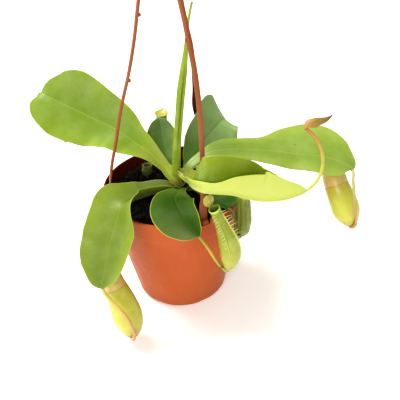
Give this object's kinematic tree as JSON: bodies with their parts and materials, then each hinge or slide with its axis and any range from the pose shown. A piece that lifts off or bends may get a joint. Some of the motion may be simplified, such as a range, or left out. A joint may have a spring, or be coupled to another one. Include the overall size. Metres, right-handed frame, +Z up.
{
  "type": "potted pitcher plant",
  "caption": "Tropical pitcher plant with broad leaves, curling tendrils and hanging pitchers, in a tapered plastic pot with a moulded hook hanger.",
  "frame": {"origin": "centre of the pot's underside", "axes": "+Z up along the pot's axis; -Y towards the front of the plant; +X to its right seen from the front"},
  "size_m": [0.2703, 0.1667, 0.3727],
  "materials": {
    "pot": "satin moulded",
    "hanger": "satin moulded",
    "soil": "rough, crumbly",
    "stem": "satin",
    "leaf_left": "soft gloss",
    "leaf_front_left": "soft gloss",
    "leaf_front": "soft gloss",
    "leaf_right_young": "glossy",
    "leaf_right": "soft gloss",
    "leaf_back_right": "soft gloss",
    "leaf_back_left": "soft gloss",
    "leaf_low_right": "soft gloss",
    "leaf_spear": "satin",
    "pitcher_left": "waxy",
    "pitcher_front_left": "waxy",
    "pitcher_front": "waxy",
    "pitcher_right": "waxy",
    "pitcher_back_left": "waxy",
    "pitcher_low_right": "waxy",
    "bud_right": "dry",
    "sprout": "waxy"
  },
  "bodies": {
    "root": {"pot": "pot", "hanger": "hanger", "soil": "soil", "stem": "stem", "leaf_left": "leaf_left", "leaf_front_left": "leaf_front_left", "leaf_front": "leaf_front", "leaf_right_young": "leaf_right_young", "leaf_right": "leaf_right", "leaf_back_right": "leaf_back_right", "leaf_back_left": "leaf_back_left", "leaf_low_right": "leaf_low_right", "leaf_spear": "leaf_spear", "pitcher_left": "pitcher_left", "pitcher_front_left": "pitcher_front_left", "pitcher_front": "pitcher_front", "pitcher_right": "pitcher_right", "pitcher_back_left": "pitcher_back_left", "pitcher_low_right": "pitcher_low_right", "bud_right": "bud_right", "sprout": "sprout"}
  },
  "joints": []
}
